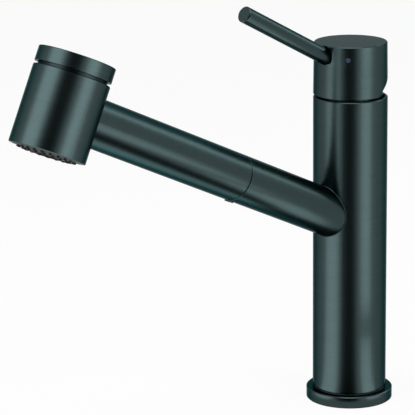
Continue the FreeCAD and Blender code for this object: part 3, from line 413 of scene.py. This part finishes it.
def turned_metal(name, colour, roughness, density):
    """Bright turned metal, such as brass or steel."""
    material, tree, shader = new_material(name)
    lines = use_group(tree, brushed_group())
    lines.inputs["Density"].default_value = density
    tree.links.new(tinted(tree, lines.outputs["Cloud"], colour, *METAL_TONES), shader.inputs["Base Color"])
    rough = spread(tree, lines.outputs["Lines"], roughness - METAL_SPREAD, roughness + METAL_SPREAD)
    tree.links.new(rough, shader.inputs["Roughness"])
    tree.links.new(bumped(tree, lines.outputs["Lines"], *METAL_BUMP), shader.inputs["Normal"])
    shader.inputs["Metallic"].default_value = 1.0
    return material


def steel(name):
    """Bright turned steel."""
    return turned_metal(name, finish().steel_colour, roughness=0.28, density=3000.0)


def moulded(name, colour, roughness, pit_scale, depth, contrast=0.15, gloss=0.5):
    """Plastic, rubber or ceramic with soft blotches and fine pits."""
    material, tree, shader = new_material(name)
    mottle = use_group(tree, mottle_group())
    mottle.inputs["Pit Scale"].default_value = pit_scale
    tone = tinted(tree, mottle.outputs["Blotches"], colour, 1.0 - contrast, 1.0 + contrast)
    tree.links.new(tone, shader.inputs["Base Color"])
    rough = spread(tree, mottle.outputs["Blotches"], roughness - MOULDED_SPREAD, roughness + MOULDED_SPREAD)
    tree.links.new(rough, shader.inputs["Roughness"])
    tree.links.new(bumped(tree, mottle.outputs["Pits"], PIT_STRENGTH, depth), shader.inputs["Normal"])
    shader.inputs["Specular IOR Level"].default_value = gloss
    return material


def enamel(name, colour):
    """Smooth enamel of an index dot."""
    return moulded(name, colour, roughness=0.35, pit_scale=3000.0, depth=0.00001)


def pale_surface(name):
    """Floor that shows as white and still takes a share of the object's shadow."""
    material, tree, shader = new_material(name)
    shader.inputs["Roughness"].default_value = FLOOR_ROUGHNESS
    shader.inputs["Specular IOR Level"].default_value = 0.0
    mottle = use_group(tree, mottle_group())
    tree.links.new(tinted(tree, mottle.outputs["Blotches"], studio().floor_colour, *FLOOR_TONES),
                   shader.inputs["Base Color"])
    glow = add(tree, "ShaderNodeEmission", Color=WHITE, Strength=1.0)
    share = maths(tree, "MULTIPLY", background_rays(tree), 1.0 - studio().shadow_share)
    mix = tree.nodes.new("ShaderNodeMixShader")
    for socket, value in zip(mix.inputs, (share, shader.outputs[0], glow.outputs[0])):
        tree.links.new(value, socket)
    tree.links.new(mix.outputs[0], tree.nodes["Material Output"].inputs["Surface"])
    return material


def painted_reflection_material(name, strength):
    """Even glow of a card below a softbox: a painted reflection of the softbox, glowing though it is no lamp."""
    material, tree, shader = new_material(name)
    shader.inputs["Base Color"].default_value = BLACK
    mottle = use_group(tree, mottle_group())
    glow = tinted(tree, mottle.outputs["Blotches"], REFLECTION_GLOW_COLOUR, *REFLECTION_GLOW_TONES)
    tree.links.new(glow, shader.inputs["Emission Color"])
    shader.inputs["Emission Strength"].default_value = strength
    return material


def dress(names, material):
    """Give CAD nodes a material."""
    for name in names:
        piece = frame["nodes"][name]
        if not piece.material_slots:
            piece.data.materials.append(material)
        for place in piece.material_slots:
            place.material = material


# --- shapes --------------------------------------------------------------------
def place_object(name, data):
    """New object in the scene."""
    piece = bpy.data.objects.new(name, data)
    bpy.context.scene.collection.objects.link(piece)
    return piece


def mesh_piece(name, rings, closed_rings=False):
    """Mesh object from rings of points; each ring is joined to the next."""
    count = len(rings[0])
    vertices = [point for each in rings for point in each]
    faces = []
    last = len(rings) if closed_rings else len(rings) - 1
    for row in range(last):
        following = (row + 1) % len(rings)
        for column in range(count):
            beside = (column + 1) % count
            faces.append((row * count + column, row * count + beside,
                          following * count + beside, following * count + column))
    if not closed_rings:
        faces.append(tuple(reversed(range(count))))
        faces.append(tuple((len(rings) - 1) * count + column for column in range(count)))
    mesh = bpy.data.meshes.new(name)
    mesh.from_pydata(vertices, [], faces)
    mesh.validate()
    mesh.update()
    for polygon in mesh.polygons:
        polygon.use_smooth = True
    return place_object(name, mesh)


def round_section(centre, outward, beside, radius):
    """Ring of points round a centre, in the plane of two directions."""
    return [centre + (outward * math.cos(turn) + beside * math.sin(turn)) * radius
            for turn in (2 * math.pi * side / ROUND_SIDES for side in range(ROUND_SIDES))]


def hose_route():
    """Points and directions along the hose: up the column, round the bend, into the spout."""
    turn = math.acos(SPOUT_AXIS.z)
    reach = HOSE_BEND * math.tan(turn / 2)
    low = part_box("spray_hose")[0][2]
    bend_start = SPOUT_ORIGIN.z - reach
    route = []
    upright = int((bend_start - low) / HOSE_STEP)
    for index in range(upright):
        route.append((Vector((0.0, 0.0, low + (bend_start - low) * index / upright)), UP))
    arc = int(HOSE_BEND * turn / HOSE_STEP)
    for index in range(arc):
        angle = turn * index / arc
        place = Vector((0.0, -HOSE_BEND * (1 - math.cos(angle)), bend_start + HOSE_BEND * math.sin(angle)))
        route.append((place, Vector((0.0, -math.sin(angle), math.cos(angle)))))
    straight = int((HOSE_END - reach) / HOSE_STEP)
    for index in range(straight + 1):
        distance = reach + (HOSE_END - reach) * index / straight
        route.append((SPOUT_ORIGIN + SPOUT_AXIS * distance, SPOUT_AXIS))
    return route


# --- operators: finishes -------------------------------------------------------
class FAUCET_OT_column(bpy.types.Operator):
    """Finish the deck flange, the swivelling sleeve and the inner cover"""

    bl_idname = "faucet.column"
    bl_label = "Column finish"

    def execute(self, context):
        dress(["deck_flange", "body_sleeve", "cartridge_cover"], graphite("graphite_column", UP))
        return {"FINISHED"}


class FAUCET_OT_spout(bpy.types.Operator):
    """Finish the fixed and the moving spout tubes"""

    bl_idname = "faucet.spout"
    bl_label = "Spout finish"

    def execute(self, context):
        dress(["spout_tube", "spray_tube"], graphite("graphite_spout", SPOUT_AXIS))
        return {"FINISHED"}


class FAUCET_OT_head(bpy.types.Operator):
    """Finish the spray head's barrel, collar and push cap"""

    bl_idname = "faucet.head"
    bl_label = "Spray head finish"

    def execute(self, context):
        dress(["head_barrel", "button_cap"], graphite("graphite_head", HEAD_AXIS))
        # The collar gets a darker copy of the head's graphite, as painted shade of the groove.
        dress(["head_collar"], graphite("graphite_painted_groove_shade", HEAD_AXIS, PAINTED_GROOVE_SHADE))
        return {"FINISHED"}


class FAUCET_OT_lever(bpy.types.Operator):
    """Finish the lever cap and rod"""

    bl_idname = "faucet.lever"
    bl_label = "Lever finish"

    def execute(self, context):
        dress(["lever_cap"], graphite("graphite_cap", UP))
        dress(["lever_rod"], graphite("graphite_rod", LEVER_AXIS))
        return {"FINISHED"}


class FAUCET_OT_marks(bpy.types.Operator):
    """Colour the cold and hot index dots"""

    bl_idname = "faucet.marks"
    bl_label = "Index marks"

    def execute(self, context):
        dress(["cold_index"], enamel("cold_enamel", finish().cold_colour))
        dress(["hot_index"], enamel("hot_enamel", finish().hot_colour))
        return {"FINISHED"}


class FAUCET_OT_inner_metal(bpy.types.Operator):
    """Finish the brass and steel pieces inside and under the deck"""

    bl_idname = "faucet.inner_metal"
    bl_label = "Inner metal"

    def execute(self, context):
        dress(["valve_column", "cartridge_nut", "mounting_nut", "mounting_shank", "hose_nut", "hose_connector",
               "stem_lever"],
              turned_metal("turned_brass", finish().brass_colour, roughness=0.32, density=2500.0))
        dress(["clamp_washer", "pivot_pin", "grub_screw", "hose_ferrule", "button_stem", "aerator_mesh"],
              steel("bright_steel"))
        return {"FINISHED"}


class FAUCET_OT_soft_parts(bpy.types.Operator):
    """Finish gaskets, seals and the nozzle mat"""

    bl_idname = "faucet.soft_parts"
    bl_label = "Rubber pieces"

    def execute(self, context):
        dress(["deck_gasket", "under_deck_gasket", "cartridge_seals", "inlet_seals", "hose_seal", "collar_seal",
               "face_rim_seal", "diverter_seal"],
              moulded("black_rubber", colour=(0.018, 0.018, 0.019), roughness=0.62, pit_scale=2200.0,
                      depth=0.00003))
        dress(["nozzle_mat"],
              moulded("nozzle_rubber", colour=(0.012, 0.012, 0.013), roughness=0.7, pit_scale=2200.0,
                      depth=0.00003, gloss=0.12))
        return {"FINISHED"}


class FAUCET_OT_plastics(bpy.types.Operator):
    """Finish the plastic and ceramic pieces"""

    bl_idname = "faucet.plastics"
    bl_label = "Plastic and ceramic"

    def execute(self, context):
        dress(["lower_glide_ring", "upper_glide_ring", "docking_bush", "screw_plug", "hose_guide"],
              moulded("black_plastic", colour=(0.012, 0.013, 0.014), roughness=0.42, pit_scale=2600.0,
                      depth=0.00002))
        dress(["spray_face", "aerator_housing"],
              moulded("face_plastic", colour=(0.008, 0.009, 0.010), roughness=0.55, pit_scale=2600.0,
                      depth=0.00002, gloss=0.10))
        dress(["cartridge_base", "cartridge_housing", "disc_driver", "stem_carrier", "spray_inlet", "check_valve",
               "waterway_tube", "diverter_body"],
              moulded("pale_plastic", colour=(0.72, 0.72, 0.69), roughness=0.45, pit_scale=2400.0,
                      depth=0.00002, contrast=0.05))
        dress(["fixed_ceramic_disc", "moving_ceramic_disc"],
              moulded("lapped_ceramic", colour=(0.80, 0.79, 0.74), roughness=0.18, pit_scale=4000.0,
                      depth=0.000005, contrast=0.04))
        return {"FINISHED"}


# --- operators: modelled pieces ------------------------------------------------
class FAUCET_OT_weld(bpy.types.Operator):
    """Model the fine weld bead round the foot of the spout"""

    bl_idname = "faucet.weld"
    bl_label = "Weld bead"

    def execute(self, context):
        lift = SPOUT_AXIS.cross(ACROSS)
        rings = []
        for step in range(WELD_STEPS):
            angle = 2 * math.pi * step / WELD_STEPS
            outward = ACROSS * math.cos(angle) + lift * math.sin(angle)
            side_y = outward.y * SPOUT_RADIUS
            reach_y = math.sqrt(BODY_RADIUS ** 2 - (outward.x * SPOUT_RADIUS) ** 2)
            distance = (reach_y + side_y) / -SPOUT_AXIS.y
            centre = SPOUT_ORIGIN + SPOUT_AXIS * distance + outward * SPOUT_RADIUS
            wall = Vector((centre.x, centre.y, 0.0)).normalized()
            rings.append(round_section(centre, outward, wall, WELD_RADIUS))
        bead = mesh_piece("spout_weld", rings, closed_rings=True)
        bead.data.materials.append(graphite("graphite_weld", UP, WELD_LIGHTNESS))
        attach(bead, "spout")
        return {"FINISHED"}


class FAUCET_OT_hose(bpy.types.Operator):
    """Model the braided spray hose, from the column up round the bend and into the spout"""

    bl_idname = "faucet.hose"
    bl_label = "Spray hose"

    def execute(self, context):
        sides = 2 * BRAID_STRANDS
        rings = []
        travelled = 0.0
        before = None
        for place, heading in hose_route():
            if before is not None:
                travelled += (place - before).length
            before = place
            other = heading.cross(ACROSS)
            phase = 2 * math.pi * travelled / BRAID_PITCH
            ring = []
            for side in range(sides):
                angle = 2 * math.pi * side / sides
                over = math.cos(BRAID_STRANDS / 2 * angle + phase) * math.cos(BRAID_STRANDS / 2 * angle - phase)
                radius = HOSE_RADIUS - BRAID_DEPTH * (0.5 - 0.5 * over)
                ring.append(place + (ACROSS * math.cos(angle) + other * math.sin(angle)) * radius)
            rings.append(ring)
        hose = mesh_piece("braided_hose", rings)
        hose.data.materials.append(moulded("hose_braid", finish().hose_colour, roughness=0.55, pit_scale=1500.0,
                                           depth=0.00008, contrast=0.35))
        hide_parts("spray_hose")
        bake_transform(hose)
        return {"FINISHED"}


class FAUCET_OT_spring(bpy.types.Operator):
    """Model the push cap's return spring, a coil round the head's axis"""

    bl_idname = "faucet.spring"
    bl_label = "Return spring"

    def execute(self, context):
        middle = SPOUT_ORIGIN + SPOUT_AXIS * HEAD_DISTANCE
        other = HEAD_AXIS.cross(ACROSS)
        low = SPRING_LOW + SPRING_WIRE
        rise = SPRING_HIGH - SPRING_LOW - 2 * SPRING_WIRE
        steps = SPRING_STEPS * SPRING_TURNS
        rings = []
        for step in range(steps + 1):
            angle = 2 * math.pi * SPRING_TURNS * step / steps
            outward = ACROSS * math.cos(angle) + other * math.sin(angle)
            centre = middle + outward * SPRING_RADIUS + HEAD_AXIS * (low + rise * step / steps)
            rings.append(round_section(centre, outward, HEAD_AXIS, SPRING_WIRE))
        spring = mesh_piece("return_spring", rings)
        spring.data.materials.append(steel("spring_steel"))
        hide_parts("button_spring")
        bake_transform(spring)
        return {"FINISHED"}


# --- studio --------------------------------------------------------------------
def around_column(turn, distance, height):
    """Point at a distance from the column, turned from the camera's side by some degrees."""
    angle = CAMERA_TURN + math.radians(turn)
    return Vector((math.sin(angle) * distance, -math.cos(angle) * distance, height))


def stage_mesh(name, corners, faces, material):
    """Flat piece of the studio, which isn't part of the faucet."""
    mesh = bpy.data.meshes.new(name)
    mesh.from_pydata(corners, [], faces)
    piece = place_object(name, mesh)
    mesh.materials.append(material)
    return piece


def lay_floor():
    """Square white floor on the deck's level."""
    half = studio().floor_size / 2
    corners = [(-half, -half, 0), (half, -half, 0), (half, half, 0), (-half, half, 0)]
    stage_mesh("floor", corners, [(0, 1, 2, 3)], pale_surface("pale_floor"))


def studio_card(material, name, start, end, near, far, height):
    """Studio card that lies on the floor, may fold up at its far edge, and shows only in reflections, as a
    painted reflection.
    """
    corners = [around_column(turn, distance, level)
               for distance, level in ((near, CARD_LIFT), (far, CARD_LIFT), (far, max(height, CARD_LIFT)))
               for turn in (start, end)]
    faces = [(0, 2, 3, 1), (2, 4, 5, 3)] if height > CARD_LIFT else [(0, 2, 3, 1)]
    card = stage_mesh(name, corners, faces, material)
    # The card is a painted reflection: the camera, diffuse light and shadows don't see it.
    card.visible_camera = False
    card.visible_diffuse = False
    card.visible_shadow = False


def lay_reflection_cards():
    """One dark card in front, a painted dark reflection, and glowing cards, painted reflections of the softboxes
    on the floor.
    """
    # Near-black card seen only in reflections: a painted dark reflection.
    studio_card(moulded("painted_reflection_black", colour=(0.003, 0.003, 0.003), roughness=0.9, pit_scale=200.0,
                        depth=0.0001, gloss=0.0), *FRONT_DARK_REFLECTION)
    # Glowing cards: painted reflections of the softboxes.
    glow = painted_reflection_material("painted_reflection_glow", studio().painted_reflection_glow)
    for card in SOFTBOX_REFLECTIONS:
        studio_card(glow, *card)


def softbox(name, place, target, width, height, power):
    """Rectangular area lamp aimed at a point."""
    lamp = bpy.data.lights.new(name, "AREA")
    lamp.shape = "RECTANGLE"
    lamp.size = width
    lamp.size_y = height
    lamp.energy = power
    piece = place_object(name, lamp)
    piece.location = place
    piece.rotation_euler = (target - place).to_track_quat("-Z", "Y").to_euler()


def hang_softboxes():
    """Three softboxes that stand round the column, and one overhead."""
    for (name, turn, distance, rise, width, height), power in (
            (LEFT_SOFTBOX, studio().left_power),
            (RIGHT_SOFTBOX, studio().right_power),
            (REAR_SOFTBOX, studio().rear_power)):
        softbox(name, around_column(turn, distance, rise), Vector((0.0, 0.0, rise)), width, height, power)
    softbox("top_softbox", TOP_PLACE, TOP_TARGET, TOP_SIZE, TOP_SIZE, studio().top_power)


def set_background(scene):
    """World that shows as white and lights the faucet only with the fill."""
    world = bpy.data.worlds.new("studio")
    world.use_nodes = True
    tree = world.node_tree
    tree.nodes.clear()
    strength = spread(tree, background_rays(tree), studio().fill, 1.0)
    background = add(tree, "ShaderNodeBackground", Color=WHITE, Strength=strength)
    output = tree.nodes.new("ShaderNodeOutputWorld")
    tree.links.new(background.outputs["Background"], output.inputs["Surface"])
    scene.world = world


def aim_camera(scene):
    """Camera in front and to the right, looking slightly down."""
    lens = bpy.data.cameras.new("camera")
    lens.lens = studio().lens
    lens.sensor_width = CAMERA_SENSOR
    lens.clip_end = CAMERA_REACH
    forward = Vector((-math.sin(CAMERA_AIM) * math.cos(CAMERA_PITCH),
                      math.cos(CAMERA_AIM) * math.cos(CAMERA_PITCH), -math.sin(CAMERA_PITCH)))
    right = forward.cross(UP).normalized()
    above = right.cross(forward)
    turned = Matrix((right, above, -forward)).transposed() @ Matrix.Rotation(CAMERA_ROLL, 3, "Z")
    place = around_column(0.0, CAMERA_DISTANCE, CAMERA_HEIGHT)
    camera = place_object("camera", lens)
    camera.matrix_world = Matrix.Translation(place) @ turned.to_4x4()
    scene.camera = camera


class FAUCET_OT_stage(bpy.types.Operator):
    """Build the floor, the lamps, the background and the camera"""

    bl_idname = "faucet.stage"
    bl_label = "Studio"

    def execute(self, context):
        lay_floor()
        hang_softboxes()
        lay_reflection_cards()
        set_background(context.scene)
        aim_camera(context.scene)
        context.scene.view_settings.view_transform = "Standard"
        return {"FINISHED"}


class FAUCET_PT_sidebar(bpy.types.Panel):
    """Faucet settings and steps."""

    bl_label = "Faucet"
    bl_idname = "FAUCET_PT_sidebar"
    bl_space_type = "VIEW_3D"
    bl_region_type = "UI"
    bl_category = "Faucet"

    def draw(self, context):
        column = self.layout.column()
        for settings in (context.scene.faucet_finish, context.scene.faucet_stage):
            for name in settings.__annotations__:
                column.prop(settings, name)
        for operator in OPERATORS:
            column.operator(operator.bl_idname)


OPERATORS = (FAUCET_OT_stage, FAUCET_OT_column, FAUCET_OT_spout, FAUCET_OT_head, FAUCET_OT_lever, FAUCET_OT_marks,
             FAUCET_OT_inner_metal, FAUCET_OT_soft_parts, FAUCET_OT_plastics, FAUCET_OT_weld, FAUCET_OT_hose,
             FAUCET_OT_spring)
CLASSES = (FaucetFinishSettings, FaucetStageSettings) + OPERATORS + (FAUCET_PT_sidebar,)


def register():
    for cls in CLASSES:
        bpy.utils.register_class(cls)
    bpy.types.Scene.faucet_finish = bpy.props.PointerProperty(type=FaucetFinishSettings)
    bpy.types.Scene.faucet_stage = bpy.props.PointerProperty(type=FaucetStageSettings)


def unregister():
    del bpy.types.Scene.faucet_stage
    del bpy.types.Scene.faucet_finish
    for cls in reversed(CLASSES):
        bpy.utils.unregister_class(cls)


def main():
    register()
    bpy.ops.faucet.stage()
    bpy.ops.faucet.column()
    bpy.ops.faucet.spout()
    bpy.ops.faucet.head()
    bpy.ops.faucet.lever()
    bpy.ops.faucet.marks()
    bpy.ops.faucet.inner_metal()
    bpy.ops.faucet.soft_parts()
    bpy.ops.faucet.plastics()
    bpy.ops.faucet.weld()
    bpy.ops.faucet.hose()
    bpy.ops.faucet.spring()


if __name__ == "__main__":
    main()
